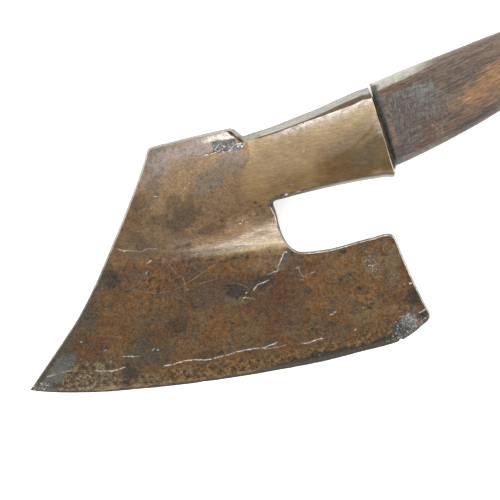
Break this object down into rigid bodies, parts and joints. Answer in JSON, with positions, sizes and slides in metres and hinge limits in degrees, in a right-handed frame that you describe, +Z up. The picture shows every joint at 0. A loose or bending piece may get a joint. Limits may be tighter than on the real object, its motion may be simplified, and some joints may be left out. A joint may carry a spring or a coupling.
{
  "type": "side axe",
  "caption": "Forged side axe lying on its flat back: broad bearded blade, tapered side socket and an offset wooden handle, for squaring timber.",
  "frame": {"origin": "middle of the footprint's box, on the surface that the axe lies on", "axes": "+X along the cutting edge from its toe towards the handle, +Y from the edge towards the poll, +Z up from the head's flat back"},
  "size_m": [0.6148, 0.2538, 0.0678],
  "materials": {
    "forged_iron": "forged iron with a laid-on steel edge, brown and golden patina, worn bright on the arrises",
    "handle_wood": "old dark red-brown hardwood, greasy from handling, with rubbed grain"
  },
  "bodies": {
    "root": {"axe_head": "forged_iron", "handle": "handle_wood"}
  },
  "joints": []
}
